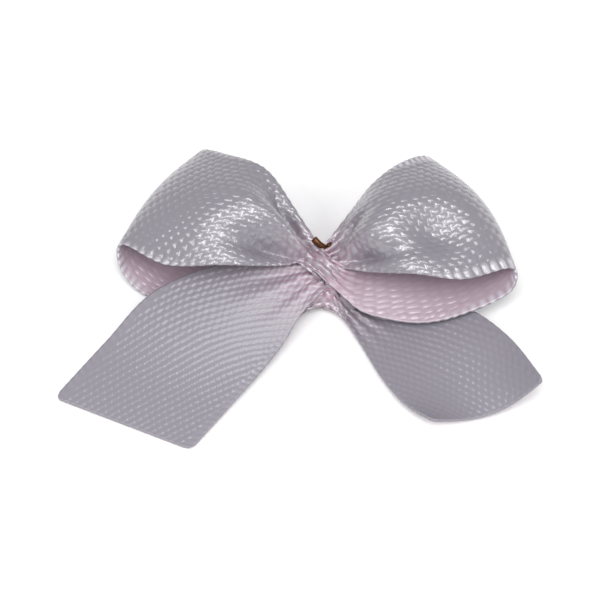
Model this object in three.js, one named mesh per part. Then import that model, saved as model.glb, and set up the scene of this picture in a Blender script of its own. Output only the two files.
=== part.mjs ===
// A small ready-tied ribbon bow: two loops and two tails of satin ribbon, gathered at a waist,
// cinched by a turn of thin wire and covered by a slanting knot band.
// Millimetres. The bow lies on its back: +X runs along the right loop, +Y towards the tops of the
// loops, and +Z up through the knot. The origin is the middle of the knot's flat back face.
import * as THREE from 'three';

// Ribbon.
const RIBBON_WIDTH = 10;
const RIBBON_THICKNESS = 0.3;

// Reach of each loop, from the knot to the middle of its fold, and height of the loops' tops.
const LEFT_LOOP_REACH = 11.2;
const RIGHT_LOOP_REACH = 10.6;
const LOOP_HEIGHT = 6.1;

// Reach of each tail along X, from the knot to the middle of its cut end.
const LEFT_TAIL_REACH = 13.7;
const RIGHT_TAIL_REACH = 11.2;

// Waist: the loops' ribbon gathered into a short bundle inside the knot.
const WAIST_LENGTH = 1.5;
const WAIST_DEPTH = 1.4;
const WAIST_HEIGHT = 1;
const GATHER_RIDGE = 0.06;
const GATHER_COUNT = 9;

// The tails' ribbon, gathered flat behind the waist. Its underside is the bow's flat back.
const STRAP_THICKNESS = 0.45;
const STRAP_LENGTH = 2.3;
const STRAP_DEPTH = 3.3;

// Tie wire.
const WIRE_DIAMETER = 0.45;
const WIRE_PITCH = 0.7;
const WIRE_OFFSET = 0.4;
const WIRE_END_RISE = 0.7;

// Knot band: an arch of gathered ribbon over the waist, turned from the Y axis.
const KNOT_WALL = 0.45;
const KNOT_WIDTH = 1.2;
const KNOT_SLANT = 28;
const KNOT_OFFSET = -0.25;
const KNOT_RIDGE = 0.07;

// Spaces between pieces that press on each other in cloth.
const CLEARANCE = 0.3;
const ROOT_CLEARANCE = 0.45;

// Fineness of the meshes.
const LOOP_STEPS = 30;
const TAIL_STEPS = 12;
const ACROSS_STEPS = 10;
const ARCH_STEPS = 16;
const WAIST_STEPS = 6;
const WIRE_STEPS = 48;
const WIRE_SIDES = 8;

const satin = { color: 0xa39eaa, roughness: 0.42, metalness: 0 };
const shadedSatin = { color: 0x9b8a9b, roughness: 0.5, metalness: 0 };
const copper = { color: 0x8a5a3a, roughness: 0.35, metalness: 1 };

// Heights of the stack in the knot, from the flat back upwards.
const wireRadius = WIRE_DIAMETER / 2;
const ringReach = CLEARANCE + wireRadius;
const ringDepth = WAIST_DEPTH / 2 + ringReach;
const ringHeight = WAIST_HEIGHT / 2 + ringReach;
const waistCentre = STRAP_THICKNESS + CLEARANCE + wireRadius + ringHeight;
const archInnerDepth = ringDepth + ringReach;
const archInnerHeight = ringHeight + ringReach;
const knotTop = waistCentre + archInnerHeight + KNOT_WALL;

// Height of a loop's two roots above and below the middle of the waist.
const rootLift = WAIST_HEIGHT / 2 + 0.4;

// Directions along and across the knot band, seen from above.
const slant = THREE.MathUtils.degToRad(KNOT_SLANT);
const alongKnot = new THREE.Vector3(Math.sin(slant), -Math.cos(slant), 0);
const acrossKnot = new THREE.Vector3(Math.cos(slant), Math.sin(slant), 0);

/** A closed surface through rings of points, with each end zipped shut from side to side. */
function loftSolid(rings) {
  const count = rings[0].length;
  const positions = rings.flat().flatMap((point) => point.toArray());
  const faces = [];
  const quad = (a, b, c, d) => faces.push(a, b, c, a, c, d);
  for (let i = 0; i < rings.length - 1; i += 1) {
    for (let j = 0; j < count; j += 1) {
      const next = (j + 1) % count;
      quad(i * count + j, i * count + next, (i + 1) * count + next, (i + 1) * count + j);
    }
  }
  const last = (rings.length - 1) * count;
  for (let j = 0; j < count / 2 - 1; j += 1) {
    const across = count - 1 - j;
    quad(j, across, across - 1, j + 1);
    quad(last + j, last + j + 1, last + across - 1, last + across);
  }
  const geometry = new THREE.BufferGeometry();
  geometry.setAttribute('position', new THREE.Float32BufferAttribute(positions, 3));
  geometry.setIndex(volumeOf(rings.flat(), faces) < 0 ? faces.reverse() : faces);
  geometry.computeVertexNormals();
  return geometry;
}

/** Six times the signed volume inside a closed list of triangles. */
function volumeOf(points, faces) {
  let total = 0;
  for (let i = 0; i < faces.length; i += 3) {
    const [a, b, c] = [points[faces[i]], points[faces[i + 1]], points[faces[i + 2]]];
    total += a.dot(new THREE.Vector3().crossVectors(b, c));
  }
  return total;
}

/** One station of a ribbon: its middle, the direction across it, its spread and its crown. */
function station(x, y, z, spread, yaw, tilt, crown) {
  const turn = THREE.MathUtils.degToRad(yaw);
  const rise = THREE.MathUtils.degToRad(tilt);
  const across = new THREE.Vector3(
    Math.sin(turn) * Math.cos(rise),
    Math.cos(turn) * Math.cos(rise),
    Math.sin(rise),
  );
  const middle = new THREE.Vector3(x, y, z);
  return {
    upper: middle.clone().addScaledVector(across, spread / 2),
    lower: middle.clone().addScaledVector(across, -spread / 2),
    crown: new THREE.Vector3(crown, 0, 0),
  };
}

/** A station at the knot's side, where the ribbon's gathered root starts, parallel to the band. */
function rootStation(side, extra, y, z, spread) {
  const offset = KNOT_OFFSET + side * (KNOT_WIDTH / 2 + ROOT_CLEARANCE + RIBBON_THICKNESS / 2 + extra);
  const x = (offset - acrossKnot.y * y) / acrossKnot.x;
  return station(x, y, z, spread, -KNOT_SLANT, 0, 0);
}

/** A ribbon of constant thickness through its stations. Its crown bulges to the outer side. */
function ribbonSolid(stations, side, steps) {
  const curve = (key) => new THREE.CatmullRomCurve3(stations.map((each) => each[key]), false, 'centripetal');
  const upper = curve('upper');
  const lower = curve('lower');
  const crowns = new THREE.CatmullRomCurve3(stations.map((each) => each.crown), false, 'catmullrom', 0.5);
  const middle = (t) => upper.getPoint(t).add(lower.getPoint(t)).multiplyScalar(0.5);
  const probe = 0.01;
  const sheet = [];
  for (let i = 0; i <= steps; i += 1) {
    const t = i / steps;
    const across = upper.getPoint(t).sub(lower.getPoint(t));
    const along = middle(Math.min(t + probe, 1)).sub(middle(Math.max(t - probe, 0)));
    const outward = new THREE.Vector3().crossVectors(across, along).normalize().multiplyScalar(side);
    const row = [];
    for (let j = 0; j <= ACROSS_STEPS; j += 1) {
      const u = j / ACROSS_STEPS;
      const point = lower.getPoint(t).addScaledVector(across, u);
      row.push(point.addScaledVector(outward, crowns.getPoint(t).x * Math.sin(Math.PI * u)));
    }
    sheet.push(row);
  }
  return loftSolid(sheet.map((row, i) => slabRing(sheet, i)));
}

/** The closed section of a sheet at one row: its upper face, then its lower face back again. */
function slabRing(sheet, i) {
  const before = sheet[Math.max(i - 1, 0)];
  const after = sheet[Math.min(i + 1, sheet.length - 1)];
  const row = sheet[i];
  const normals = row.map((point, j) => {
    const across = row[Math.min(j + 1, row.length - 1)].clone().sub(row[Math.max(j - 1, 0)]);
    const along = after[j].clone().sub(before[j]);
    return across.cross(along).normalize().multiplyScalar(RIBBON_THICKNESS / 2);
  });
  const front = row.map((point, j) => point.clone().add(normals[j]));
  const back = row.map((point, j) => point.clone().sub(normals[j])).reverse();
  return [...front, ...back];
}

function leftLoop() {
  const reach = -LEFT_LOOP_REACH;
  const width = RIBBON_WIDTH;
  const top = LOOP_HEIGHT;
  return ribbonSolid([
    rootStation(-1, 0, 0.5, waistCentre + rootLift, 2.3),
    station(reach * 0.23, 1.5, top * 0.72, width * 0.48, 18, 2, 0.3),
    station(reach * 0.47, 2.3, top * 0.93, width * 0.78, 21, 0, 0.5),
    station(reach * 0.77, 3.7, top * 0.9, width * 0.94, 28, -4, 0.4),
    station(reach, 5, top * 0.56, width * 0.97, 38, 1, 0.4),
    station(reach * 0.98, 4.4, top * 0.22, width * 0.98, 37, 2, 0.2),
    station(reach * 0.82, 2.7, 0.5, width * 0.95, 37, 1, 0),
    station(reach * 0.52, 1.4, 0.5, width * 0.72, 27, 0, 0),
    rootStation(-1, 0.25, -0.1, waistCentre - rootLift, 2.4),
  ], 1, LOOP_STEPS);
}

function rightLoop() {
  const reach = RIGHT_LOOP_REACH;
  const width = RIBBON_WIDTH;
  const top = LOOP_HEIGHT;
  return ribbonSolid([
    rootStation(1, WIRE_OFFSET + WIRE_PITCH / 2 + wireRadius, 0.4, waistCentre + rootLift, 2.2),
    station(reach * 0.24, 1.1, top * 0.69, width * 0.47, -14, 0, 0.3),
    station(reach * 0.45, 1.2, top * 0.93, width * 0.75, -19, -1, 0.5),
    station(reach * 0.71, 1.8, top * 0.97, width * 0.94, -25, 0, 0.4),
    station(reach * 0.97, 3.2, top * 0.7, width * 1.02, -34, 1, 0.7),
    station(reach, 2.5, top * 0.41, width, -27, -2, 0.5),
    station(reach * 0.8, 1.1, top * 0.3, width * 0.95, -19, -5, 0.1),
    station(reach * 0.52, -0.3, 1.7, width * 0.8, -14, -6, 0),
    station(reach * 0.27, -0.9, 1.5, width * 0.52, -6, -6, 0),
    rootStation(1, 0.5, -0.6, waistCentre - rootLift / 2, 2.5),
  ], -1, LOOP_STEPS);
}

function leftTail() {
  const reach = -LEFT_TAIL_REACH;
  const width = RIBBON_WIDTH;
  return ribbonSolid([
    rootStation(-1, 0.15, -1.1, waistCentre - 0.1, 2.4),
    station(reach * 0.19, -1.7, 1.8, width * 0.46, -28, 5, 0.2),
    station(reach * 0.37, -2.7, 1.5, width * 0.74, -42, 5, 0.3),
    station(reach * 0.58, -4.4, 1.1, width * 0.96, -52, 3, 0.2),
    station(reach * 0.77, -7.3, 0.6, width, -60, 1, 0.1),
    station(reach, -10.9, 0.25, width * 1.03, -64, 0, 0),
  ], 1, TAIL_STEPS);
}

function rightTail() {
  const reach = RIGHT_TAIL_REACH;
  const width = RIBBON_WIDTH;
  return ribbonSolid([
    station(1.9, -2.35, 0.6, 1.9, 35, 0, 0),
    station(reach * 0.34, -3.2, 0.5, width * 0.46, 44, 2, 0),
    station(reach * 0.62, -5, 0.8, width * 0.78, 46, 4, -0.2),
    station(reach * 0.82, -7.4, 1.3, width * 0.86, 56, 7, -0.7),
    station(reach, -10.5, 2.2, width * 0.8, 74, 13, -1.7),
  ], -1, TAIL_STEPS);
}

/** The gathered bundle along X, with ridges round it and ends drawn in. */
function loopRibbonWaist() {
  const endShrink = 0.7;
  const sides = GATHER_COUNT * 4;
  const rings = [];
  for (let i = 0; i <= WAIST_STEPS; i += 1) {
    const along = (2 * i) / WAIST_STEPS - 1;
    const swell = THREE.MathUtils.lerp(1, endShrink, along * along);
    const ring = [];
    for (let j = 0; j < sides; j += 1) {
      const angle = (2 * Math.PI * j) / sides;
      const ridge = 1 - GATHER_RIDGE + GATHER_RIDGE * Math.cos(GATHER_COUNT * angle);
      const y = (WAIST_DEPTH / 2) * swell * ridge * Math.cos(angle);
      const z = (WAIST_HEIGHT / 2) * swell * ridge * Math.sin(angle);
      ring.push(new THREE.Vector3((along * WAIST_LENGTH) / 2, y, waistCentre + z));
    }
    rings.push(ring);
  }
  return loftSolid(rings);
}

/** The tails' ribbon behind the waist: a flat strap whose front edge arches up between the tails. */
function tailRibbonWaist() {
  const front = -STRAP_DEPTH * 0.72;
  const back = front + STRAP_DEPTH;
  const half = STRAP_LENGTH / 2;
  const archRise = 0.45;
  const cornerCut = 0.5;
  const outline = new THREE.Shape();
  outline.moveTo(-half, front);
  outline.quadraticCurveTo(0, front + 2 * archRise, half - cornerCut, front);
  outline.lineTo(half, front + cornerCut * 2);
  outline.lineTo(half, back - cornerCut);
  outline.lineTo(half - cornerCut, back);
  outline.lineTo(cornerCut - half, back);
  outline.lineTo(-half, back - cornerCut);
  outline.closePath();
  return new THREE.ExtrudeGeometry(outline, {
    depth: STRAP_THICKNESS,
    bevelEnabled: false,
    curveSegments: 8,
  });
}

/** One turn of wire round the waist, its two cut ends bent up into a V behind the knot band. */
function tieWire() {
  const onRing = (degrees, x) => {
    const angle = THREE.MathUtils.degToRad(degrees);
    return new THREE.Vector3(x, ringDepth * Math.cos(angle), waistCentre + ringHeight * Math.sin(angle));
  };
  const half = WIRE_PITCH / 2;
  const turnStart = -20;
  const turnEnd = -325;
  const turnPoints = 12;
  const bend = ringDepth + wireRadius;
  const points = [
    new THREE.Vector3(WIRE_OFFSET - half - 0.05, bend + 0.8, waistCentre + WIRE_END_RISE + 0.3),
    new THREE.Vector3(WIRE_OFFSET - half, bend + 0.3, waistCentre + WIRE_END_RISE * 0.6),
  ];
  for (let i = 0; i <= turnPoints; i += 1) {
    const share = i / turnPoints;
    const x = WIRE_OFFSET - half + WIRE_PITCH * share;
    points.push(onRing(THREE.MathUtils.lerp(turnStart, turnEnd, share), x));
  }
  const right = WIRE_OFFSET + half;
  points.push(new THREE.Vector3(right + 0.05, bend + 0.15, waistCentre + WIRE_END_RISE));
  points.push(new THREE.Vector3(right + 0.2, bend + 0.65, waistCentre + WIRE_END_RISE + 0.2));
  const section = new THREE.Shape();
  for (let i = 0; i < WIRE_SIDES; i += 1) {
    const angle = (2 * Math.PI * i) / WIRE_SIDES;
    const place = [wireRadius * Math.cos(angle), wireRadius * Math.sin(angle)];
    if (i === 0) section.moveTo(...place);
    else section.lineTo(...place);
  }
  section.closePath();
  return new THREE.ExtrudeGeometry(section, {
    steps: WIRE_STEPS,
    bevelEnabled: false,
    extrudePath: new THREE.CatmullRomCurve3(points, false, 'centripetal'),
  });
}

/** The arch over the waist: ridged outside, plain inside, its two feet just above the strap. */
function knotBand() {
  const foot = STRAP_THICKNESS + CLEARANCE;
  const outerDepth = archInnerDepth + KNOT_WALL;
  const outerHeight = knotTop - waistCentre;
  const place = (depth, height, across) => new THREE.Vector3()
    .addScaledVector(alongKnot, depth)
    .addScaledVector(acrossKnot, KNOT_OFFSET + across)
    .setZ(height);
  const profile = [];
  for (let i = 0; i <= ARCH_STEPS; i += 1) {
    const angle = Math.PI * (1 - i / ARCH_STEPS);
    profile.push({ cos: Math.cos(angle), sin: Math.sin(angle), down: 0 });
  }
  profile.unshift({ cos: -1, sin: 0, down: waistCentre - foot });
  profile.push({ cos: 1, sin: 0, down: waistCentre - foot });
  const rings = profile.map(({ cos, sin, down }) => {
    const outer = [];
    const inner = [];
    for (let j = 0; j <= ACROSS_STEPS; j += 1) {
      const u = (2 * j) / ACROSS_STEPS - 1;
      const across = (u * KNOT_WIDTH) / 2;
      const round = KNOT_RIDGE * (1 - Math.cos(2 * Math.PI * u)) + KNOT_WALL * 0.5 * u ** 4;
      const outerPoint = place(cos * (outerDepth - round), waistCentre - down + sin * (outerHeight - round), across);
      outer.push(outerPoint);
      inner.push(place(cos * archInnerDepth, waistCentre - down + sin * archInnerHeight, across));
    }
    return [...outer, ...inner.reverse()];
  });
  return loftSolid(rings);
}

const group = new THREE.Group();

function addPiece(name, geometry, finish) {
  const mesh = new THREE.Mesh(geometry, new THREE.MeshStandardMaterial(finish));
  mesh.name = name;
  group.add(mesh);
}

addPiece('left_loop', leftLoop(), satin);
addPiece('right_loop', rightLoop(), satin);
addPiece('left_tail', leftTail(), satin);
addPiece('right_tail', rightTail(), satin);
addPiece('loop_ribbon_waist', loopRibbonWaist(), shadedSatin);
addPiece('tail_ribbon_waist', tailRibbonWaist(), shadedSatin);
addPiece('knot_band', knotBand(), shadedSatin);
addPiece('tie_wire', tieWire(), copper);

export default group;
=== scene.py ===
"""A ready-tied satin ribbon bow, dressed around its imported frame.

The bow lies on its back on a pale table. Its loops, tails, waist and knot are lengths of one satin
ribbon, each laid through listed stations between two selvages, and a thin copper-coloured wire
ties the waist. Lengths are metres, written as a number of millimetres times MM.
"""

import logging
import math
from dataclasses import dataclass, field
from enum import Enum
from typing import Sequence

import bmesh
import bpy
import numpy as np
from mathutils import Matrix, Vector

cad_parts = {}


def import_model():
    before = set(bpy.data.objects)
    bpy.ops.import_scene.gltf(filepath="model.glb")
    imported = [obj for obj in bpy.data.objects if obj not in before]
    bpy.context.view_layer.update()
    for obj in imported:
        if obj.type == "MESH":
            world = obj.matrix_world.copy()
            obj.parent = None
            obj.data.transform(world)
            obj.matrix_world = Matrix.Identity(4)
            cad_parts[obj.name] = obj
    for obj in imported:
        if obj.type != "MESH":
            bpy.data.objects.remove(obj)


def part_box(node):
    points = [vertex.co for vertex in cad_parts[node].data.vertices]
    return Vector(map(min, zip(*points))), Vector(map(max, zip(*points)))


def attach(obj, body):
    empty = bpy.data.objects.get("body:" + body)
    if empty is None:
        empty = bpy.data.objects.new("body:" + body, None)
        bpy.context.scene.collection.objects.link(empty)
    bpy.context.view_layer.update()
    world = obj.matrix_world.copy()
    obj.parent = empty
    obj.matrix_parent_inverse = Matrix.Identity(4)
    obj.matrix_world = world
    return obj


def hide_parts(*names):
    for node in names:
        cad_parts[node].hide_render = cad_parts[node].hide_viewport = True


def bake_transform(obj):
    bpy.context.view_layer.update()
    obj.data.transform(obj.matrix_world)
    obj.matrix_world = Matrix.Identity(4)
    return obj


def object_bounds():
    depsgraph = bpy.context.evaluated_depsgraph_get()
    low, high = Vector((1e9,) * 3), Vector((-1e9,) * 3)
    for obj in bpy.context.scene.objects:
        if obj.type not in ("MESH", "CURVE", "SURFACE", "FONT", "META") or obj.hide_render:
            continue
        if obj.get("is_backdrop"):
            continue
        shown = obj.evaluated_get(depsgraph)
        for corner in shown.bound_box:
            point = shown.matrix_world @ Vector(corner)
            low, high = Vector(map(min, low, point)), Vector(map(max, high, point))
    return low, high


MM = 0.001
UV_NAME = "ribbon_mm"
# Names the mesh attribute that paints pink shade and glints on the ribbons towards the knot.
KNOT_LIGHT_NAME = "painted_knot_light"
LENGTH_NAME = "ribbon_length"
RIBBON_WIDTH = 10 * MM
EVEN_FADE = 50 * MM  # longer than any piece, so that its pleats stay even from end to end

log = logging.getLogger("bow")


class Side(Enum):
    """Which side of the knot a ribbon runs to: its sign turns the satin face outwards."""

    LEFT = 1.0
    RIGHT = -1.0


# ---------------------------------------------------------------------------------------------
# Shader groups
# ---------------------------------------------------------------------------------------------


class NodeSketch:
    """A shorthand for wiring one node tree."""

    def __init__(self, tree: bpy.types.NodeTree) -> None:
        """Keep the tree that the nodes go into.

        Args:
            tree: The node tree to add nodes and links to.
        """
        self.tree = tree

    def add(self, kind: str, **settings: object) -> bpy.types.Node:
        """Add one node and set its properties.

        Args:
            kind: The node's type name.
            **settings: Properties of the node, by name.

        Returns:
            The new node.
        """
        node = self.tree.nodes.new(kind)
        for name, value in settings.items():
            setattr(node, name, value)
        return node

    def feed(self, socket: bpy.types.NodeSocket, value: object) -> None:
        """Link a socket to a source, or set its constant.

        Args:
            socket: The input to fill.
            value: An output socket, or a number or colour.
        """
        if isinstance(value, bpy.types.NodeSocket):
            self.tree.links.new(value, socket)
        else:
            socket.default_value = value

    def math(self, operation: str, *values: object) -> bpy.types.NodeSocket:
        """Add a Math node.

        Args:
            operation: The operation's name.
            *values: The inputs, as sockets or numbers.

        Returns:
            The node's value.
        """
        node = self.add("ShaderNodeMath", operation=operation)
        for socket, value in zip(node.inputs, values):
            self.feed(socket, value)
        return node.outputs[0]

    def ramp(self, value: object, low: object, high: object) -> bpy.types.NodeSocket:
        """Add a smooth step that rises from 0 at low to 1 at high.

        Args:
            value: The value to step on.
            low: Where the step starts.
            high: Where the step ends.

        Returns:
            The stepped value.
        """
        node = self.add("ShaderNodeMapRange", interpolation_type="SMOOTHSTEP")
        for name, source in (("Value", value), ("From Min", low), ("From Max", high)):
            self.feed(node.inputs[name], source)
        return node.outputs["Result"]

    def mix(self, factor: object, first: object, second: object) -> bpy.types.NodeSocket:
        """Add a colour mix.

        Args:
            factor: How much of the second colour.
            first: The colour at 0.
            second: The colour at 1.

        Returns:
            The mixed colour.
        """
        node = self.add("ShaderNodeMix", data_type="RGBA")
        self.feed(node.inputs["Factor"], factor)
        self.feed(node.inputs["A"], first)
        self.feed(node.inputs["B"], second)
        return node.outputs["Result"]

    def wave(self, phase: object) -> bpy.types.NodeSocket:
        """Add a cosine of a phase that counts whole turns.

        Args:
            phase: The phase, in turns.

        Returns:
            The cosine, from -1 to 1.
        """
        return self.math("COSINE", self.math("MULTIPLY", phase, 2 * math.pi))


def build_group(name: str, inputs: Sequence[str], outputs: Sequence[tuple[str, str]]) -> tuple:
    """Make an empty shader group with named sockets.

    Args:
        name: The group's name.
        inputs: Names of the inputs: the first is a vector, the others are values.
        outputs: Names and socket types of the outputs.

    Returns:
        The group, a sketch of its tree, its input sockets by name and its output node.
    """
    group = bpy.data.node_groups.new(name, "ShaderNodeTree")
    for index, label in enumerate(inputs):
        kind = "NodeSocketVector" if index == 0 else "NodeSocketFloat"
        group.interface.new_socket(label, in_out="INPUT", socket_type=kind)
    for label, kind in outputs:
        group.interface.new_socket(label, in_out="OUTPUT", socket_type=kind)
    sketch = NodeSketch(group)
    sources = sketch.add("NodeGroupInput").outputs
    return group, sketch, {label: sources[label] for label in inputs}, sketch.add("NodeGroupOutput")


def satin_weave_group() -> bpy.types.NodeTree:
    """Build the weave of a satin ribbon, drawn in millimetres across and along it.

    Two crossed waves make the lattice, either of round knots or of long yarns, and a band of
    stitches runs along each selvage. Height is the relief, Float tells yarn from ground, and Thread
    is the stitches alone.

    Returns:
        The shader group.
    """
    sway_reach = 0.4
    knot_power = 1.5
    yarn_end_power = 1.7
    yarn_side_power = 0.95
    row_change = 0.4
    selvage_solid = 0.4
    stitch_slant = 0.15
    stitch_gaps = (0.25, 0.6)
    stitch_shine = 0.8
    filament_stretch = (8.0, 1.1, 1.0)
    filament_weight = 0.14
    inputs = (
        "Ribbon",
        "Row Across",
        "Row Along",
        "Step Across",
        "Step Along",
        "Width",
        "Selvage",
        "Stitch Pitch",
        "Stitch",
        "Yarns",
    )
    outputs = (
        ("Height", "NodeSocketFloat"),
        ("Float", "NodeSocketFloat"),
        ("Thread", "NodeSocketFloat"),
    )
    group, sketch, given, result = build_group("satin_weave", inputs, outputs)
    drift = sketch.add("ShaderNodeTexNoise")
    sketch.feed(drift.inputs["Vector"], given["Ribbon"])
    drift.inputs["Scale"].default_value = 0.6
    drift.inputs["Detail"].default_value = 2.0
    place = sketch.add("ShaderNodeSeparateXYZ")
    sketch.feed(place.inputs[0], given["Ribbon"])
    sway = sketch.math("MULTIPLY", sketch.math("SUBTRACT", drift.outputs["Fac"], 0.5), sway_reach)
    across = sketch.math("ADD", place.outputs["X"], sway)
    along = sketch.math("ADD", place.outputs["Y"], sway)
    row_part = sketch.math("MULTIPLY", across, given["Row Across"])
    row = sketch.wave(sketch.math("MULTIPLY_ADD", along, given["Row Along"], row_part))
    step_part = sketch.math("MULTIPLY", across, given["Step Across"])
    step = sketch.wave(sketch.math("MULTIPLY_ADD", along, given["Step Along"], step_part))
    lifted = sketch.math("MULTIPLY_ADD", sketch.math("MULTIPLY", row, step), 0.5, 0.5)
    knots = sketch.math("POWER", lifted, knot_power)
    turned = sketch.ramp(row, -row_change, row_change)
    parity = sketch.math("SUBTRACT", sketch.math("MULTIPLY", turned, 2.0), 1.0)
    taken = sketch.math("MULTIPLY_ADD", sketch.math("MULTIPLY", parity, step), -0.5, 0.5)
    long_top = sketch.math("SUBTRACT", 1.0, sketch.math("POWER", taken, yarn_end_power))
    rounded = sketch.math("POWER", sketch.math("ABSOLUTE", row), yarn_side_power)
    yarns = sketch.math("MULTIPLY", long_top, rounded)
    blend = sketch.add("ShaderNodeMix", data_type="FLOAT")
    sketch.feed(blend.inputs[0], given["Yarns"])
    sketch.feed(blend.inputs[2], knots)
    sketch.feed(blend.inputs[3], yarns)
    float_mask = blend.outputs[0]

    from_far = sketch.math("SUBTRACT", given["Width"], place.outputs["X"])
    edge_distance = sketch.math("MINIMUM", place.outputs["X"], from_far)
    edge_start = sketch.math("MULTIPLY", given["Selvage"], selvage_solid)
    edge = sketch.math("SUBTRACT", 1.0, sketch.ramp(edge_distance, edge_start, given["Selvage"]))
    slanted = sketch.math("MULTIPLY_ADD", edge_distance, stitch_slant, along)
    tick = sketch.wave(sketch.math("DIVIDE", slanted, given["Stitch Pitch"]))
    tick = sketch.math("MULTIPLY_ADD", tick, 0.5, 0.5)
    tick = sketch.math("MULTIPLY", tick, sketch.ramp(drift.outputs["Fac"], *stitch_gaps))
    stitch = sketch.math("MULTIPLY", sketch.math("MULTIPLY", tick, edge), given["Stitch"])
    filament = sketch.add("ShaderNodeTexNoise")
    stretch = sketch.add("ShaderNodeVectorMath", operation="MULTIPLY")
    sketch.feed(stretch.inputs[0], given["Ribbon"])
    stretch.inputs[1].default_value = filament_stretch
    sketch.feed(filament.inputs["Vector"], stretch.outputs[0])
    filament.inputs["Scale"].default_value = 1.0
    filament.inputs["Detail"].default_value = 2.0
    cloth = sketch.math("MULTIPLY_ADD", filament.outputs["Fac"], filament_weight, float_mask)
    inner = sketch.math("SUBTRACT", 1.0, edge)
    height = sketch.math("MULTIPLY_ADD", cloth, inner, stitch)
    shine = sketch.math("MULTIPLY", stitch, stitch_shine)
    mask = sketch.math("MULTIPLY_ADD", float_mask, inner, shine)
    sketch.feed(result.inputs["Height"], height)
    sketch.feed(result.inputs["Float"], mask)
    sketch.feed(result.inputs["Thread"], stitch)
    return group


def grain_group() -> bpy.types.NodeTree:
    """Build a fine uneven grain that metal and table both use.

    Returns:
        The shader group.
    """
    group, sketch, given, result = build_group(
        "fine_grain", ("Place", "Scale", "Detail"), (("Grain", "NodeSocketFloat"),)
    )
    noise = sketch.add("ShaderNodeTexNoise")
    sketch.feed(noise.inputs["Vector"], given["Place"])
    sketch.feed(noise.inputs["Scale"], given["Scale"])
    sketch.feed(noise.inputs["Detail"], given["Detail"])
    sketch.feed(result.inputs["Grain"], noise.outputs["Fac"])
    return group


# ---------------------------------------------------------------------------------------------
# Finishes
# ---------------------------------------------------------------------------------------------


def start_material(name: str) -> tuple[bpy.types.Material, NodeSketch, bpy.types.Node]:
    """Make an empty material.

    Args:
        name: The material's name.

    Returns:
        The material, a sketch of its tree and its shader node.
    """
    material = bpy.data.materials.new(name)
    material.use_nodes = True
    return material, NodeSketch(material.node_tree), material.node_tree.nodes["Principled BSDF"]


@dataclass(frozen=True)
class SatinFinish:
    """One face of the satin ribbon: its colours, shine and the pitch of its weave.

    ground and floats are the weave's low and high colours. Towards the knot they turn to two painted
    colours: a dark pink painted shade where the knot's hollow is shaded, and a painted glint on the
    floats. The selvage stitches have a lighter colour than the cloth, partly their own and partly a
    painted highlight on them. row and step are turns of the two waves in a millimetre, across and
    along. ribbon_width, selvage and stitch_pitch are in millimetres.
    """

    name: str
    ground: tuple[float, float, float, float] = (0.182, 0.165, 0.2, 1.0)
    floats: tuple[float, float, float, float] = (0.192, 0.178, 0.212, 1.0)
    # Painted dark pink shade, where the knot's hollow is shaded.
    painted_hollow_shade: tuple[float, float, float, float] = (0.4, 0.14, 0.25, 1.0)
    # Painted glint on the floats near the knot.
    painted_knot_glint: tuple[float, float, float, float] = (0.6, 0.54, 0.6, 1.0)
    # Selvage stitch colour, lighter than the cloth: partly the stitches and partly a painted highlight on
    # them.
    stitch_with_painted_glint: tuple[float, float, float, float] = (0.5, 0.465, 0.52, 1.0)
    row: tuple[float, float] = (1.19, 0.0)
    step: tuple[float, float] = (0.0, 1.5)
    yarns: float = 1.0
    relief: float = 0.065 * MM
    body_relief: float = 0.006 * MM
    coat: float = 1.0
    coat_roughness: float = 0.23
    coat_ior: float = 1.9
    roughness: float = 0.5
    float_roughness: float = 0.34
    sheen: float = 0.15
    specular: float = 0.7
    stitch: float = 1.2
    ribbon_width: float = 10.0
    selvage: float = 0.85
    stitch_pitch: float = 0.57

    def build(self, weave: bpy.types.NodeTree) -> bpy.types.Material:
        """Make the material.

        Args:
            weave: The shared satin weave group.

        Returns:
            The material.
        """
        material, sketch, shader = start_material(self.name)
        ribbon = sketch.add("ShaderNodeUVMap", uv_map=UV_NAME)
        pattern = sketch.add("ShaderNodeGroup", node_tree=weave)
        sketch.feed(pattern.inputs["Ribbon"], ribbon.outputs[0])
        for label, value in (
            ("Row Across", self.row[0]),
            ("Row Along", self.row[1]),
            ("Step Across", self.step[0]),
            ("Step Along", self.step[1]),
            ("Width", self.ribbon_width),
            ("Selvage", self.selvage),
            ("Stitch Pitch", self.stitch_pitch),
            ("Stitch", self.stitch),
            ("Yarns", self.yarns),
        ):
            pattern.inputs[label].default_value = value
        # Towards the knot the ground takes painted dark pink shade and the floats take painted glints.
        depth = sketch.add("ShaderNodeAttribute", attribute_name=KNOT_LIGHT_NAME)
        under = sketch.mix(depth.outputs["Fac"], self.ground, self.painted_hollow_shade)
        over = sketch.mix(depth.outputs["Fac"], self.floats, self.painted_knot_glint)
        cloth = sketch.mix(pattern.outputs["Float"], under, over)
        # The selvage stitches get their lighter colour, partly a painted highlight on them.
        stitched = sketch.mix(pattern.outputs["Thread"], cloth, self.stitch_with_painted_glint)
        sketch.feed(shader.inputs["Base Color"], stitched)
        span = self.float_roughness - self.roughness
        rough = sketch.math("MULTIPLY_ADD", pattern.outputs["Float"], span, self.roughness)
        sketch.feed(shader.inputs["Roughness"], rough)
        shader.inputs["Specular IOR Level"].default_value = self.specular
        shader.inputs["Sheen Weight"].default_value = self.sheen
        shader.inputs["Sheen Roughness"].default_value = 0.4
        shader.inputs["Coat Weight"].default_value = self.coat
        shader.inputs["Coat Roughness"].default_value = self.coat_roughness
        shader.inputs["Coat IOR"].default_value = self.coat_ior
        for label, relief in (("Normal", self.body_relief), ("Coat Normal", self.relief)):
            bump = sketch.add("ShaderNodeBump")
            bump.inputs["Strength"].default_value = 1.0
            bump.inputs["Distance"].default_value = relief
            sketch.feed(bump.inputs["Height"], pattern.outputs["Height"])
            sketch.feed(shader.inputs[label], bump.outputs["Normal"])
        return material


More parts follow.
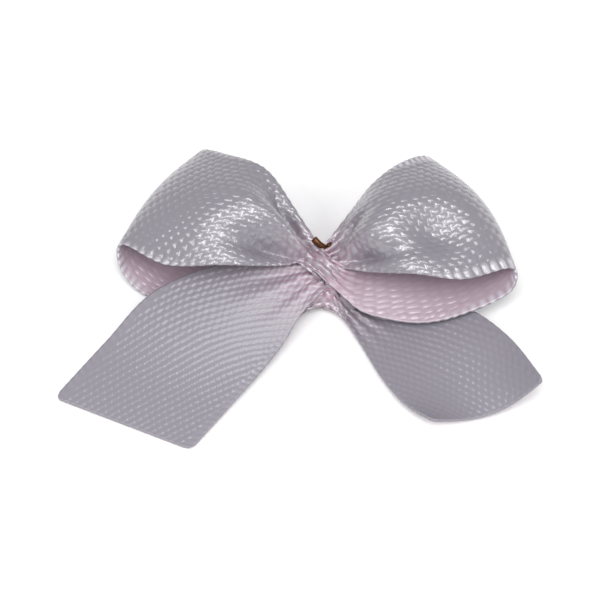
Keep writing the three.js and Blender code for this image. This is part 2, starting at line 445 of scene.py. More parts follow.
@dataclass(frozen=True)
class CopperFinish:
    """Dull copper-coloured wire with faint drawing marks."""

    name: str = "copper_wire"
    bright: tuple[float, float, float, float] = (0.24, 0.11, 0.055, 1.0)
    dull: tuple[float, float, float, float] = (0.09, 0.042, 0.024, 1.0)

    def build(self, grain: bpy.types.NodeTree) -> bpy.types.Material:
        """Make the material.

        Args:
            grain: The shared grain group.

        Returns:
            The material.
        """
        material, sketch, shader = start_material(self.name)
        place = sketch.add("ShaderNodeTexCoord")
        marks = sketch.add("ShaderNodeGroup", node_tree=grain)
        sketch.feed(marks.inputs["Place"], place.outputs["Object"])
        marks.inputs["Scale"].default_value = 2500.0
        marks.inputs["Detail"].default_value = 3.0
        colour = sketch.mix(marks.outputs["Grain"], self.dull, self.bright)
        sketch.feed(shader.inputs["Base Color"], colour)
        rough = sketch.math("MULTIPLY_ADD", marks.outputs["Grain"], 0.3, 0.25)
        sketch.feed(shader.inputs["Roughness"], rough)
        shader.inputs["Metallic"].default_value = 1.0
        bump = sketch.add("ShaderNodeBump")
        bump.inputs["Distance"].default_value = 0.01 * MM
        sketch.feed(bump.inputs["Height"], marks.outputs["Grain"])
        sketch.feed(shader.inputs["Normal"], bump.outputs["Normal"])
        return material


@dataclass(frozen=True)
class TableFinish:
    """The pale matt table that the bow lies on."""

    name: str = "pale_table"
    low: tuple[float, float, float, float] = (0.93, 0.93, 0.94, 1.0)
    high: tuple[float, float, float, float] = (0.96, 0.96, 0.96, 1.0)

    def build(self, grain: bpy.types.NodeTree) -> bpy.types.Material:
        """Make the material.

        Args:
            grain: The shared grain group.

        Returns:
            The material.
        """
        material, sketch, shader = start_material(self.name)
        place = sketch.add("ShaderNodeTexCoord")
        mottle = sketch.add("ShaderNodeGroup", node_tree=grain)
        sketch.feed(mottle.inputs["Place"], place.outputs["Object"])
        mottle.inputs["Scale"].default_value = 60.0
        mottle.inputs["Detail"].default_value = 2.0
        colour = sketch.mix(mottle.outputs["Grain"], self.low, self.high)
        sketch.feed(shader.inputs["Base Color"], colour)
        shader.inputs["Roughness"].default_value = 0.9
        shader.inputs["Specular IOR Level"].default_value = 0.1
        return material


@dataclass(frozen=True)
class Finishes:
    """Every finish of the bow, built once."""

    loop_face: bpy.types.Material
    loop_reverse: bpy.types.Material
    tail_face: bpy.types.Material
    gathered: bpy.types.Material
    copper: bpy.types.Material
    table: bpy.types.Material

    @classmethod
    def build(cls) -> "Finishes":
        """Make the shared groups and then each material.

        Returns:
            The finishes.
        """
        weave = satin_weave_group()
        grain = grain_group()
        # The reverse, which shows inside the loops, is drawn lighter and pinker than the face: painted
        # bounce light in the loops, on the reverse's own weave.
        reverse = SatinFinish(
            "satin_reverse_painted_bounce",
            ground=(0.375, 0.285, 0.345, 1.0),
            floats=(0.4, 0.315, 0.37, 1.0),
            row=(0.0, 0.6),
            step=(2.3, 0.0),
            # Painted glint on the floats near the knot.
            painted_knot_glint=(0.8, 0.72, 0.79, 1.0),
            relief=0.032 * MM,
            coat=0.5,
            coat_roughness=0.25,
            float_roughness=0.42,
        )
        tail = SatinFinish(
            "satin_tail",
            row=(1.925, 0.375),
            step=(0.025, -1.175),
            yarns=0.0,
            ground=(0.205, 0.188, 0.226, 1.0),
            floats=(0.222, 0.206, 0.246, 1.0),
            # Painted glints: light dots on the floats near the tails' roots.
            painted_knot_glint=(0.85, 0.8, 0.86, 1.0),
            coat=0.42,
            coat_roughness=0.28,
            float_roughness=0.42,
            stitch=0.1,
        )
        gathered = SatinFinish(
            "satin_gathered",
            ground=(0.22, 0.18, 0.215, 1.0),
            floats=(0.25, 0.215, 0.25, 1.0),
            yarns=0.3,
        )
        return cls(
            SatinFinish("satin_face").build(weave),
            reverse.build(weave),
            tail.build(weave),
            gathered.build(weave),
            CopperFinish().build(grain),
            TableFinish().build(grain),
        )


# ---------------------------------------------------------------------------------------------
# Ribbon
# ---------------------------------------------------------------------------------------------


@dataclass(frozen=True)
class Station:
    """Where a ribbon passes: its middle, its spread, the way it faces and how far it bulges.

    The place is in metres, yaw and tilt are in degrees, and the crown is in metres.
    """

    x: float
    y: float
    z: float
    spread: float
    yaw: float
    tilt: float = 0.0
    crown: float = 0.0

    def channels(self) -> list[float]:
        """Give the two selvage points and the crown as one row of numbers.

        Returns:
            Upper x, y, z, lower x, y, z, crown.
        """
        turn, rise = math.radians(self.yaw), math.radians(self.tilt)
        level = math.cos(rise)
        across = np.array([math.sin(turn) * level, math.cos(turn) * level, math.sin(rise)])
        middle = np.array([self.x, self.y, self.z])
        reach = across * self.spread / 2
        return [*(middle + reach), *(middle - reach), self.crown]


@dataclass(frozen=True)
class Crease:
    """A valley pressed along a ribbon, from one share of its length to another.

    across is its place from the lower selvage, from 0 to 1, and width its half width in the same
    share. A negative depth is a ridge. drift moves the valley across as it runs along.
    """

    across: float
    width: float
    depth: float
    start: float
    peak: float
    end: float
    drift: float = 0.0

    def height(self, along: np.ndarray, across: np.ndarray) -> np.ndarray:
        """Work out how far the crease moves the cloth.

        Args:
            along: Shares of the length, one for each row.
            across: Shares of the width, one for each column.

        Returns:
            The height at each row and column.
        """
        rise = np.clip((along - self.start) / (self.peak - self.start), 0, 1)
        fall = np.clip((self.end - along) / (self.end - self.peak), 0, 1)
        strength = (rise * rise * (3 - 2 * rise)) * (fall * fall * (3 - 2 * fall))
        centre = self.across + self.drift * (along - self.peak)
        offset = (across[None, :] - centre[:, None]) / self.width
        near = np.sin(np.pi * np.clip(across * 6, 0, 0.5))
        far = np.sin(np.pi * np.clip((1 - across) * 6, 0, 0.5))
        edge = near * far
        return -self.depth * strength[:, None] * np.exp(-offset * offset) * edge[None, :]


@dataclass(frozen=True)
class Gathers:
    """Small pleats that fan out of a gathered end and fade along the ribbon."""

    count: float = 5.0
    depth: float = 0.9 * MM
    fade: float = 2.2 * MM
    at_start: bool = True
    at_end: bool = False
    skew: float = 0.0

    def height(self, length: np.ndarray, across: np.ndarray) -> np.ndarray:
        """Work out the pleats' height.

        Args:
            length: Distance along the ribbon, one for each row.
            across: Shares of the width, one for each column.

        Returns:
            The height at each row and column.
        """
        strength = np.zeros_like(length)
        if self.at_start:
            strength += np.exp(-((length / self.fade) ** 2))
        if self.at_end:
            strength += np.exp(-(((length[-1] - length) / self.fade) ** 2))
        bent = across + self.skew * np.sin(2 * np.pi * across)
        wave = (np.cos(2 * np.pi * self.count * bent) - 1) / 2
        return self.depth * strength[:, None] * wave[None, :]


def smooth_channels(rows: np.ndarray, count: int) -> np.ndarray:
    """Run a centripetal Catmull-Rom curve through rows of numbers.

    Args:
        rows: One row for each station. The first six numbers are two points.
        count: How many samples to return.

    Returns:
        The samples, evenly spaced in the stations' order.
    """
    ends = np.vstack([2 * rows[0] - rows[1], rows, 2 * rows[-1] - rows[-2]])
    steps = np.linalg.norm(np.diff((ends[:, :3] + ends[:, 3:6]) / 2, axis=0), axis=1)
    knots = np.sqrt(np.maximum(steps, 1e-6))
    shares = np.linspace(0, len(rows) - 1, count)
    first = np.minimum(shares.astype(int), len(rows) - 2)
    local = (shares - first)[:, None]
    before, start, end, after = (ends[first + offset] for offset in range(4))
    gap0, gap1, gap2 = (knots[first + offset][:, None] for offset in range(3))
    leave = ((start - before) / gap0 - (end - before) / (gap0 + gap1) + (end - start) / gap1) * gap1
    arrive = ((end - start) / gap1 - (after - start) / (gap1 + gap2) + (after - end) / gap2) * gap1
    square, cube = local**2, local**3
    return (
        start * (2 * cube - 3 * square + 1)
        + leave * (cube - 2 * square + local)
        + end * (3 * square - 2 * cube)
        + arrive * (cube - square)
    )


@dataclass
class Ribbon:
    """A length of satin ribbon laid through stations, with its selvages, pleats and creases.

    settle says how the cloth takes up its width where it is gathered: at 1 it narrows as its chord
    does. length and local_width are worked out when the ribbon is laid.
    """

    name: str
    side: Side
    stations: list[Station]
    face: bpy.types.Material
    reverse: bpy.types.Material
    waist: Vector
    creases: list[Crease] = field(default_factory=list)
    gathers: list[Gathers] = field(default_factory=list)
    width: float = RIBBON_WIDTH
    thickness: float = 0.17 * MM
    row_step: float = 0.1 * MM
    columns: int = 88
    picot: float = 0.025 * MM
    picot_pitch: float = 0.57 * MM
    picot_reach: float = 0.35 * MM
    stitch_rise: float = 0.025 * MM
    selvage: float = 0.95 * MM
    corner: float = 0.0
    # How far from the waist and how strongly the painted shade and glints of the knot reach.
    knot_light_reach: float = 2.4 * MM
    knot_light_strength: float = 0.5
    settle: float = 0.85
    length: float = 0.0
    local_width: np.ndarray = field(default_factory=lambda: np.zeros(1))
    start_along: float = 0.0

    def lay(self) -> tuple[np.ndarray, np.ndarray, np.ndarray]:
        """Lay the middle surface of the cloth through the stations.

        Returns:
            Its points by row and column, the length along at each row, and the shares across.
        """
        dense = smooth_channels(np.array([s.channels() for s in self.stations]), 800)
        middle = (dense[:, :3] + dense[:, 3:6]) / 2
        travelled = np.concatenate([[0], np.cumsum(np.linalg.norm(np.diff(middle, axis=0), axis=1))])
        self.length = float(travelled[-1])
        rows = max(int(self.length / self.row_step), 12)
        length = np.linspace(0, self.length, rows)
        channels = np.stack([np.interp(length, travelled, dense[:, k]) for k in range(7)], axis=1)
        upper, lower, crown = channels[:, :3], channels[:, 3:6], channels[:, 6]
        across = np.linspace(0, 1, self.columns)
        chord = upper - lower
        gathered = np.minimum(np.linalg.norm(chord, axis=1) / self.width, 1)
        self.local_width = self.width * gathered**self.settle
        middle = (upper + lower) / 2
        along = np.gradient(middle, axis=0)
        outward = np.cross(chord, along)
        outward /= np.linalg.norm(outward, axis=1, keepdims=True)
        outward *= self.side.value
        height = crown[:, None] * np.sin(np.pi * across)[None, :]
        for crease in self.creases:
            height += crease.height(length / self.length, across)
        for gather in self.gathers:
            height += gather.height(length, across)
        points = lower[:, None, :] + chord[:, None, :] * across[None, :, None]
        points = points + outward[:, None, :] * height[:, :, None]
        if self.corner:
            points = self.round_corners(points, length, across)
        return points, length, across

    def round_corners(self, points: np.ndarray, length: np.ndarray, across: np.ndarray) -> np.ndarray:
        """Pull the ends of the outer columns back, so the cut end has round corners.

        Args:
            points: The cloth's points.
            length: Distance along at each row.
            across: Shares across at each column.

        Returns:
            The cloth's points with round corners.
        """
        rounded = points.copy()
        for column, share in enumerate(across):
            inset = self.corner - min(share, 1 - share) * self.width
            if inset <= 0:
                continue
            pulled = self.corner - math.sqrt(max(self.corner**2 - inset**2, 0))
            target = length * (1 - pulled / self.length)
            for axis in range(3):
                rounded[:, column, axis] = np.interp(target, length, points[:, column, axis])
        return rounded

    def selvage_shape(self, length: np.ndarray, across: np.ndarray) -> tuple[np.ndarray, np.ndarray]:
        """Shape the stitched selvages: ridges across them and a picot on the very edge.

        Args:
            length: Distance along at each row.
            across: Shares across at each column.

        Returns:
            The rise of the stitches and how far each point moves outwards, by row and column.
        """
        turns = (length + self.start_along) / self.picot_pitch
        wave = 0.5 + 0.5 * np.cos(2 * np.pi * turns)
        edge = np.minimum(across, 1 - across) * self.width
        band = np.clip((self.selvage - edge) / (0.3 * self.selvage), 0, 1)
        rise = self.stitch_rise * wave[:, None] * band[None, :]
        reach = np.clip(1 - edge / self.picot_reach, 0, 1)
        outwards = self.picot * wave[:, None] * (reach * np.sign(across - 0.5))[None, :]
        return rise, outwards

    def build(self) -> bpy.types.Object:
        """Make the ribbon's closed mesh, with its satin face and its reverse.

        Returns:
            The ribbon's object.
        """
        points, length, across = self.lay()
        chord = np.gradient(points, axis=1)
        along = np.gradient(points, axis=0)
        normal = np.cross(chord, along)
        normal /= np.maximum(np.linalg.norm(normal, axis=2, keepdims=True), 1e-12)
        normal *= self.side.value
        chord /= np.maximum(np.linalg.norm(chord, axis=2, keepdims=True), 1e-12)
        rise, outwards = self.selvage_shape(length, across)
        points = points + chord * outwards[:, :, None]
        half = self.thickness / 2 + rise
        front = points + normal * half[:, :, None]
        back = points - normal * half[:, :, None]
        return self.to_object(front, back, length, across)

    def to_object(
        self, front: np.ndarray, back: np.ndarray, length: np.ndarray, across: np.ndarray
    ) -> bpy.types.Object:
        """Join the two faces of the cloth into one closed mesh.

        Args:
            front: The satin face's points.
            back: The reverse's points.
            length: Distance along at each row.
            across: Shares across at each column.

        Returns:
            The object, with its UV map in millimetres, its mask of painted shade and painted glints
            towards the knot, and its two finishes.
        """
        rows, columns = front.shape[:2]
        count = rows * columns
        index = np.arange(count).reshape(rows, columns)
        a, b, c, d = index[:-1, :-1], index[:-1, 1:], index[1:, 1:], index[1:, :-1]
        quads = np.stack([a, b, c, d], axis=-1).reshape(-1, 4)
        if self.side is Side.RIGHT:
            quads = quads[:, ::-1]
        rim = np.concatenate([index[0, :], index[1:, -1], index[-1, -2::-1], index[-2:0:-1, 0]])
        after = np.roll(rim, -1)
        walls = np.stack([after, rim, rim + count, after + count], axis=-1)
        if self.side is Side.RIGHT:
            walls = walls[:, ::-1]
        faces = np.concatenate([quads, quads[:, ::-1] + count, walls])
        mesh = bpy.data.meshes.new(self.name)
        vertices = np.concatenate([front.reshape(-1, 3), back.reshape(-1, 3)])
        mesh.from_pydata(vertices.tolist(), [], faces.tolist())
        mesh.polygons.foreach_set("use_smooth", np.ones(len(faces), bool))
        finish = np.zeros(len(faces), np.int32)
        finish[len(quads) : 2 * len(quads)] = 1
        mesh.materials.append(self.face)
        mesh.materials.append(self.reverse)
        mesh.polygons.foreach_set("material_index", finish)
        place = np.zeros((count, 2))
        offset = (across[None, :] - 0.5) * self.local_width[:, None]
        place[:, 0] = ((offset + self.width / 2) / MM).ravel()
        place[:, 1] = np.repeat((length + self.start_along) / MM, columns)
        place = np.concatenate([place, place])
        corners = np.zeros(len(mesh.loops), np.int32)
        mesh.loops.foreach_get("vertex_index", corners)
        layer = mesh.uv_layers.new(name=UV_NAME)
        layer.data.foreach_set("uv", place[corners].ravel())
        # Painted pink shade and glints, strongest at the waist point and fading with distance from it.
        depth = mesh.attributes.new(KNOT_LIGHT_NAME, "FLOAT", "POINT")
        away = np.linalg.norm((vertices - np.array(self.waist)) * np.array([1.0, 1.0, 0.6]), axis=1)
        deep = self.knot_light_strength * np.exp(-((away / self.knot_light_reach) ** 2))
        depth.data.foreach_set("value", deep.astype(np.float32))
        mesh.update()
        made = bpy.data.objects.new(self.name, mesh)
        bpy.context.scene.collection.objects.link(made)
        made[LENGTH_NAME] = self.length
        log.info("%s: %.1f mm of ribbon, %d faces", self.name, self.length / MM, len(faces))
        return made


# ---------------------------------------------------------------------------------------------
# Sub-assemblies
# ---------------------------------------------------------------------------------------------


@dataclass
class LeftLoop:
    """The left loop: a broad wing that folds over on a slant and comes back along the table."""

    finishes: Finishes
    waist: Vector
    low: Vector = field(default_factory=lambda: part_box("left_loop")[0])
    high: Vector = field(default_factory=lambda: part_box("left_loop")[1])
    name: str = "left_loop_ribbon"

    def build(self) -> bpy.types.Object:
        """Lay the loop's ribbon from the front of the knot to its back.

        Returns:
            The ribbon's object.
        """
        reach, top = self.low.x, self.high.z
        stations = [
            Station(reach * -0.031, -0.85 * MM, 3.3 * MM, 1.6 * MM, 50),
            Station(reach * 0.014, -0.15 * MM, 3.45 * MM, 1.8 * MM, 52, 0, 0.2 * MM),
            Station(reach * 0.069, 0.6 * MM, 3.4 * MM, 2.1 * MM, 44, 0, 0.35 * MM),
            Station(reach * 0.13, 1.0 * MM, top * 0.6, 3.4 * MM, 24, 3, 0.6 * MM),
            Station(reach * 0.19, 1.55 * MM, top * 0.65, 4.8 * MM, 17, 4, 0.8 * MM),
            Station(reach * 0.364, 2.3 * MM, top * 0.84, 7.8 * MM, 21, 4, 1.3 * MM),
            Station(reach * 0.597, 3.3 * MM, top * 0.745, 9.1 * MM, 28, 9, 1.3 * MM),
            Station(reach * 0.776, 5.05 * MM, top * 0.54, 8.9 * MM, 38, 6, 0.6 * MM),
            Station(reach * 0.762, 4.4 * MM, top * 0.21, 9.7 * MM, 37, 2, 0.15 * MM),
            Station(reach * 0.636, 2.7 * MM, 0.45 * MM, 9.4 * MM, 37, 1),
            Station(reach * 0.403, 1.4 * MM, 0.5 * MM, 7.2 * MM, 27),
            Station(reach * 0.13, -0.1 * MM, 1.1 * MM, 2.6 * MM, -20),
            Station(reach * 0.03, -0.1 * MM, 1.5 * MM, 1.6 * MM, -28),
        ]
        creases = [
            Crease(0.24, 0.13, 1.2 * MM, 0.03, 0.18, 0.33, drift=0.3),
            Crease(0.5, 0.1, -0.5 * MM, 0.02, 0.14, 0.36, drift=1.0),
            Crease(0.75, 0.13, 1.0 * MM, 0.02, 0.14, 0.32, drift=0.6),
        ]
        gathers = [Gathers(count=5, depth=0.4 * MM, fade=1.6 * MM, at_end=True, skew=0.03)]
        return Ribbon(
            self.name, Side.LEFT, stations, self.finishes.loop_face, self.finishes.loop_reverse,
            self.waist, creases, gathers,
        ).build()


@dataclass
class RightLoop:
    """The right loop: a domed wing with one long crease, whose back stretch shows in front."""

    finishes: Finishes
    waist: Vector
    high: Vector = field(default_factory=lambda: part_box("right_loop")[1])
    name: str = "right_loop_ribbon"

    def build(self) -> bpy.types.Object:
        """Lay the loop's ribbon from the front of the knot to its back.

        Returns:
            The ribbon's object.
        """
        reach, top = self.high.x, self.high.z
        stations = [
            Station(reach * 0.0, 0.2 * MM, 3.3 * MM, 1.8 * MM, -28),
            Station(reach * 0.07, 0.5 * MM, 3.5 * MM, 2.5 * MM, -22),
            Station(reach * 0.19, 1.1 * MM, top * 0.62, 4.8 * MM, -14, 0, 0.9 * MM),
            Station(reach * 0.357, 1.25 * MM, top * 0.86, 7.6 * MM, -19, -1, 1.6 * MM),
            Station(reach * 0.563, 2.0 * MM, top * 0.83, 9.7 * MM, -25, 5, 1.7 * MM),
            Station(reach * 0.774, 3.35 * MM, top * 0.64, 10.0 * MM, -34, 6, 1.1 * MM),
            Station(reach * 0.805, 2.5 * MM, top * 0.38, 9.9 * MM, -27, -2, 0.6 * MM),
            Station(reach * 0.634, 1.3 * MM, top * 0.28, 9.4 * MM, -19, 1),
            Station(reach * 0.412, 0.1 * MM, 1.75 * MM, 8.0 * MM, -14, 5, -0.3 * MM),
            Station(reach * 0.22, -0.65 * MM, 2.0 * MM, 4.9 * MM, 4, 5, -0.3 * MM),
            Station(reach * 0.15, -0.95 * MM, 2.5 * MM, 3.0 * MM, 16, 4, -0.3 * MM),
            Station(reach * 0.085, -0.95 * MM, 3.0 * MM, 1.9 * MM, 34, -4, -0.3 * MM),
            Station(reach * 0.01, -0.35 * MM, 3.25 * MM, 1.5 * MM, 50),
        ]
        creases = [
            Crease(0.22, 0.09, 0.9 * MM, 0.02, 0.12, 0.3),
            Crease(0.36, 0.19, 1.3 * MM, 0.17, 0.3, 0.42),
            Crease(0.42, 0.07, -0.3 * MM, 0.02, 0.1, 0.26, drift=0.6),
            Crease(0.66, 0.08, 0.4 * MM, 0.02, 0.1, 0.26, drift=0.4),
        ]
        gathers = [Gathers(count=5, depth=0.4 * MM, fade=1.6 * MM, at_end=True, skew=-0.03)]
        return Ribbon(
            self.name, Side.RIGHT, stations, self.finishes.loop_face, self.finishes.loop_reverse,
            self.waist, creases, gathers, start_along=0.21 * MM,
        ).build()


@dataclass
class LeftTail:
    """The left tail: a flat tail that lies over the left loop's back stretch, cut on a slant."""

    finishes: Finishes
    waist: Vector
    low: Vector = field(default_factory=lambda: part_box("left_tail")[0])
    name: str = "left_tail_ribbon"

    def build(self) -> bpy.types.Object:
        """Lay the tail's ribbon from the knot to its cut end.

        Returns:
            The ribbon's object.
        """
        reach = self.low.x
        stations = [
            Station(reach * 0.01, -0.65 * MM, 2.7 * MM, 2.2 * MM, -28, 6),
            Station(reach * 0.06, -0.8 * MM, 2.7 * MM, 3.3 * MM, -26, 10),
            Station(reach * 0.142, -1.5 * MM, 2.35 * MM, 4.6 * MM, -28, 13, 0.3 * MM),
            Station(reach * 0.277, -2.6 * MM, 1.85 * MM, 7.3 * MM, -42, 11, 0.4 * MM),
            Station(reach * 0.434, -4.4 * MM, 1.2 * MM, 9.5 * MM, -52, 5, 0.3 * MM),
            Station(reach * 0.576, -7.3 * MM, 0.6 * MM, 9.9 * MM, -60, 1, 0.1 * MM),
            Station(reach * 0.743, -11.0 * MM, 0.25 * MM, 10.2 * MM, -67),
        ]
        creases = [
            Crease(0.35, 0.12, 0.25 * MM, 0.02, 0.1, 0.45),
            Crease(0.7, 0.12, 0.25 * MM, 0.02, 0.1, 0.4),
        ]
        gathers = [Gathers(count=4, depth=0.16 * MM, fade=2.6 * MM)]
        return Ribbon(
            self.name, Side.LEFT, stations, self.finishes.tail_face, self.finishes.loop_reverse,
            self.waist, creases, gathers, corner=0.5 * MM, stitch_rise=0.01 * MM, picot=0.025 * MM,
            settle=0.8, knot_light_reach=3.6 * MM,
        ).build()


@dataclass
class RightTail:
    """The right tail: it comes from under the right loop and curls up at both edges."""

    finishes: Finishes
    waist: Vector
    high: Vector = field(default_factory=lambda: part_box("right_tail")[1])
    name: str = "right_tail_ribbon"

    def build(self) -> bpy.types.Object:
        """Lay the tail's ribbon from the knot to its cut end.

        Returns:
            The ribbon's object.
        """
        reach = self.high.x
        stations = [
            Station(reach * 0.03, -1.3 * MM, 0.9 * MM, 1.7 * MM, 20),
            Station(reach * 0.12, -1.9 * MM, 0.7 * MM, 1.9 * MM, 35),
            Station(reach * 0.263, -3.0 * MM, 0.5 * MM, 4.3 * MM, 44, 2),
            Station(reach * 0.461, -5.0 * MM, 0.8 * MM, 7.8 * MM, 46, 4, -0.2 * MM),
            Station(reach * 0.61, -7.4 * MM, 1.3 * MM, 8.6 * MM, 56, 7, -0.7 * MM),
            Station(reach * 0.746, -10.25 * MM, 2.2 * MM, 8.0 * MM, 74, 13, -1.6 * MM),
        ]
        gathers = [Gathers(count=5, depth=0.5 * MM, fade=3.0 * MM)]
        return Ribbon(
            self.name, Side.RIGHT, stations, self.finishes.tail_face, self.finishes.loop_reverse,
            self.waist, [], gathers, corner=0.4 * MM, start_along=0.3 * MM, stitch_rise=0.01 * MM,
            picot=0.025 * MM, settle=0.8, knot_light_reach=3.6 * MM,
        ).build()


@dataclass
class KnotBand:
    """The gathered strand that crosses the waist on a slant, from the left loop to the right one."""

    finishes: Finishes
    waist: Vector
    low: Vector = field(default_factory=lambda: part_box("knot_band")[0])
    high: Vector = field(default_factory=lambda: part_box("knot_band")[1])
    spread: float = 1.5 * MM
    name: str = "knot_band_ribbon"

    def build(self) -> bpy.types.Object:
        """Lay the strand over the waist, its two feet tucked under.

        Returns:
            The ribbon's object.
        """
        low, high, top = self.low.x, self.high.x, self.high.z
        back, front = self.high.y, self.low.y
        stations = [
            Station(low * 0.57, back * 0.4, top * 0.75, self.spread, 54, 0, 0.3 * MM),
            Station(low * 0.3, 0.0, top * 0.85, self.spread, 54, 0, 0.5 * MM),
            Station(high * 0.08, front * 0.21, top * 0.89, self.spread, 50, 0, 0.55 * MM),
            Station(high * 0.57, front * 0.46, top * 0.84, self.spread, 48, -4, 0.5 * MM),
            Station(high * 1.05, front * 0.66, top * 0.66, self.spread * 0.9, 46, -8, 0.3 * MM),
            Station(high * 1.35, front * 0.75, top * 0.4, self.spread * 0.9, 46, -10, 0.1 * MM),
        ]
        gathers = [Gathers(count=3, depth=0.28 * MM, fade=EVEN_FADE, skew=0.06)]
        return Ribbon(
            self.name, Side.RIGHT, stations, self.finishes.gathered, self.finishes.loop_reverse,
            self.waist, [], gathers, thickness=0.11 * MM, row_step=0.07 * MM, picot=0.02 * MM,
            stitch_rise=0.0, knot_light_reach=1.6 * MM, settle=1.0,
        ).build()


@dataclass
class Waist:
    """The gathered bundle inside the knot, and the flat strap of tail ribbon behind it."""

    finishes: Finishes
    centre: Vector

    def bundle(self) -> bpy.types.Object:
        """Lay the loops' ribbon through the knot.

        Returns:
            The ribbon's object.
        """
        low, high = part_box("loop_ribbon_waist")
        reach, spread = high.x * 1.4, (high.y - low.y) * 1.1
        stations = [
            Station(share * reach, 0.1 * MM, high.z - 0.1 * MM, spread, 0, 0, 0.2 * MM)
            for share in (-1.0, -0.4, 0.4, 1.0)
        ]
        gathers = [Gathers(count=4, depth=0.6 * MM, fade=EVEN_FADE)]
        return Ribbon(
            "loop_waist_gathers", Side.RIGHT, stations, self.finishes.gathered, self.finishes.loop_reverse,
            self.centre, [], gathers, thickness=0.12 * MM, picot=0.02 * MM, stitch_rise=0.0,
        ).build()

    def strap(self) -> bpy.types.Object:
        """Lay the tails' ribbon flat behind the waist, its front edge arched.

        Returns:
            The ribbon's object.
        """
        low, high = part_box("tail_ribbon_waist")
        middle = (low.z + high.z) / 2
        stations = [
            Station(low.x * 1.9, low.y * 0.95, middle + 0.6 * MM, 1.9 * MM, -20, 30),
            Station(low.x * 1.0, low.y * 0.74, middle + 1.25 * MM, 2.0 * MM, -10, 45),
            Station(high.x * 0.28, low.y * 0.6, middle + 1.6 * MM, 2.4 * MM, 0, 57),
            Station(high.x * 1.0, low.y * 0.76, middle + 1.2 * MM, 2.0 * MM, 12, 45),
            Station(high.x * 1.9, low.y * 1.05, middle + 0.3 * MM, 1.8 * MM, 30, 15),
        ]
        gathers = [Gathers(count=3, depth=0.1 * MM, fade=EVEN_FADE)]
        # The strap's middle, under the knot, takes the full painted dark pink shade of the hollow there.
        return Ribbon(
            "tail_waist_strap", Side.RIGHT, stations, self.finishes.gathered, self.finishes.loop_reverse,
            Vector((0.3 * MM, -1.2 * MM, 2.35 * MM)), [], gathers, thickness=0.14 * MM, picot=0.02 * MM,
            settle=1.0, knot_light_reach=1.2 * MM, knot_light_strength=1.0,
        ).build()


@dataclass
class TieWire:
    """The turn of wire round the waist, with its two cut ends in a V behind the knot."""

    finish: bpy.types.Material
    low: Vector = field(default_factory=lambda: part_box("tie_wire")[0])
    high: Vector = field(default_factory=lambda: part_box("tie_wire")[1])
    diameter: float = 0.45 * MM
    pitch: float = 0.7 * MM
    ring_depth: float = 0.95 * MM
    ring_height: float = 0.9 * MM
    cap_round: float = 0.06 * MM
    cap_angle: float = 1.2
    name: str = "tie_wire_bent"

    def route(self) -> list[Vector]:
        """Place the wire's bends: one end, the turn round the waist, the other end.

        Returns:
            The points of its middle line.
        """
        start = self.low.x + self.diameter / 2 + 0.05 * MM
        centre = (self.low.z + self.high.z) / 2
        top = self.high.z + 0.5 * MM
        points = [
            Vector((start - 0.62 * MM, 1.5 * MM, top + 0.2 * MM)),
            Vector((start - 0.3 * MM, 1.25 * MM, top - 0.05 * MM)),
            Vector((start + 0.05 * MM, 1.15 * MM, top - 0.5 * MM)),
        ]
        turn_points = 12
        for step in range(turn_points + 1):
            share = step / turn_points
            angle = math.radians(-5 - 325 * share)
            points.append(
                Vector(
                    (
                        start + self.pitch * share,
                        self.ring_depth * math.cos(angle),
                        centre + self.ring_height * math.sin(angle),
                    )
                )
            )
        end = start + self.pitch
        points.append(Vector((end - 0.28 * MM, 1.15 * MM, top - 0.6 * MM)))
        points.append(Vector((end - 0.15 * MM, 1.3 * MM, top - 0.2 * MM)))
        return points

    def build(self) -> bpy.types.Object:
        """Bend the wire along its route and round its cut ends.

        Returns:
            The wire's object.
        """
        bpy.ops.object.select_all(action="DESELECT")
        bpy.ops.curve.primitive_bezier_curve_add(location=(0, 0, 0))
        made = bpy.context.object
        made.name = self.name
        curve = made.data
        curve.splines.clear()
        spline = curve.splines.new("BEZIER")
        route = self.route()
        spline.bezier_points.add(len(route) - 1)
        for point, place in zip(spline.bezier_points, route):
            point.co = place
            point.handle_left_type = "AUTO"
            point.handle_right_type = "AUTO"
        curve.bevel_depth = self.diameter / 2
        curve.bevel_resolution = 5
        curve.resolution_u = 10
        curve.use_fill_caps = True
        bpy.ops.object.convert(target="MESH")
        made = bpy.context.object
        made.name = self.name
        mesh = made.data
        work = bmesh.new()
        work.from_mesh(mesh)
        bmesh.ops.remove_doubles(work, verts=work.verts, dist=1e-7)
        caps = [edge for edge in work.edges if edge.calc_face_angle(0) > self.cap_angle]
        bmesh.ops.bevel(work, geom=caps, offset=self.cap_round, segments=2, affect="EDGES", profile=0.5)
        bmesh.ops.recalc_face_normals(work, faces=work.faces)
        work.to_mesh(mesh)
        work.free()
        for face in mesh.polygons:
            face.use_smooth = True
        mesh.materials.clear()
        mesh.materials.append(self.finish)
        log.info("%s: %d faces", self.name, len(mesh.polygons))
        return made


# ---------------------------------------------------------------------------------------------
# Stage
# ---------------------------------------------------------------------------------------------


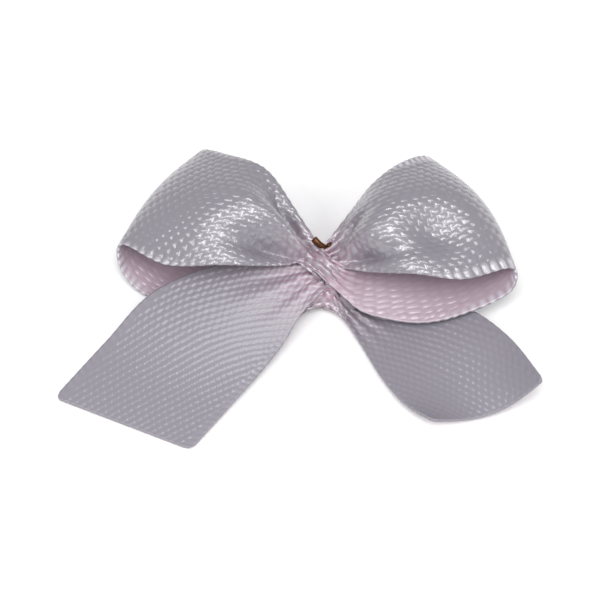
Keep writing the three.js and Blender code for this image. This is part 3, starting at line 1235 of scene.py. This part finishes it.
@dataclass
class Studio:
    """The table, the soft lights and the camera."""

    table: bpy.types.Material
    low: Vector
    table_gap: float = 0.02 * MM
    surroundings: float = 0.62
    elevation: float = 60.0
    lens: float = 200.0
    distance: float = 229.885 * MM
    aim: Vector = field(default_factory=lambda: Vector((-1.52 * MM, -2.23 * MM, 1.9 * MM)))

    def build(self) -> None:
        """Set the table, the lights, the surroundings and the camera."""
        self.add_table()
        for name, place, size, power in (
            ("key", (0.0, -0.11, 0.38), 0.17, 0.7),
            ("left", (-0.22, -0.17, 0.32), 0.16, 0.42),
            ("right", (0.22, -0.17, 0.32), 0.16, 0.42),
        ):
            self.add_light(name, place, size, power)
        world = bpy.data.worlds.new("studio")
        bpy.context.scene.world = world
        world.use_nodes = True
        background = world.node_tree.nodes["Background"]
        background.inputs["Color"].default_value = (1.0, 1.0, 1.0, 1.0)
        background.inputs["Strength"].default_value = self.surroundings
        self.add_camera()
        bpy.context.scene.view_settings.view_transform = "Standard"

    def add_table(self) -> None:
        """Lay the table just under the bow."""
        bpy.ops.object.select_all(action="DESELECT")
        bpy.ops.mesh.primitive_plane_add(size=1.6, location=(0, 0, self.low.z - self.table_gap))
        floor = bpy.context.object
        floor.name = "table"
        floor.data.materials.append(self.table)
        floor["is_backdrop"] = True

    def add_light(self, name: str, place: tuple[float, float, float], size: float, power: float) -> None:
        """Hang a square soft light that faces the bow.

        Args:
            name: The light's name.
            place: Where it hangs.
            size: The length of its side.
            power: Its power in watts.
        """
        light = bpy.data.lights.new(name, "AREA")
        light.size = size
        light.energy = power
        lamp = bpy.data.objects.new(name, light)
        bpy.context.scene.collection.objects.link(lamp)
        lamp.location = place
        lamp.rotation_euler = (-Vector(place)).to_track_quat("-Z", "Y").to_euler()

    def add_camera(self) -> None:
        """Set the camera above the tails, looking down at the knot."""
        rise = math.radians(self.elevation)
        view = Vector((0, math.cos(rise), -math.sin(rise)))
        camera = bpy.data.cameras.new("camera")
        camera.lens = self.lens
        camera.sensor_width = 36.0
        camera.clip_start = 0.01
        holder = bpy.data.objects.new("camera", camera)
        bpy.context.scene.collection.objects.link(holder)
        holder.location = self.aim - view * self.distance
        holder.rotation_euler = (math.pi / 2 - rise, 0, 0)
        bpy.context.scene.camera = holder


# ---------------------------------------------------------------------------------------------
# The bow
# ---------------------------------------------------------------------------------------------


def main() -> None:
    """Build the bow piece by piece, dress it and set the stage."""
    logging.basicConfig(level=logging.INFO, format="%(message)s")
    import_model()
    cad_low, cad_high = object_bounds()
    finishes = Finishes.build()
    waist_low, waist_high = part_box("loop_ribbon_waist")
    waist = (waist_low + waist_high) / 2

    left_loop = LeftLoop(finishes, waist).build()
    right_loop = RightLoop(finishes, waist).build()
    left_tail = LeftTail(finishes, waist).build()
    right_tail = RightTail(finishes, waist).build()
    knot = KnotBand(finishes, waist).build()
    waist_maker = Waist(finishes, waist)
    bundle = waist_maker.bundle()
    strap = waist_maker.strap()
    wire = TieWire(finishes.copper).build()

    for piece, node in (
        (knot, "knot_band"),
        (bundle, "loop_ribbon_waist"),
        (strap, "tail_ribbon_waist"),
    ):
        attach(piece, "knot")
        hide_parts(node)
    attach(wire, "knot")
    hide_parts("tie_wire")

    bend = 2.0 * MM
    for piece, first, second, joint, reach, held, company in (
        (left_loop, "knot", "left_loop", "left_loop_flex", -bend, "gathered", [bundle]),
        (right_loop, "right_tail", "right_loop", "right_loop_flex", bend, "gathered", [knot]),
        (left_tail, "left_loop", "left_tail", "left_tail_lift", -bend, "laid", [strap]),
        (right_tail, "knot", "right_tail", "right_tail_lift", bend, "laid", []),
    ):
        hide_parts(second)
        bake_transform(piece)
        log.info("%s bends between %s and %s", piece.name, first, second)

    Studio(finishes.table, cad_low).build()


if __name__ == "__main__":
    main()
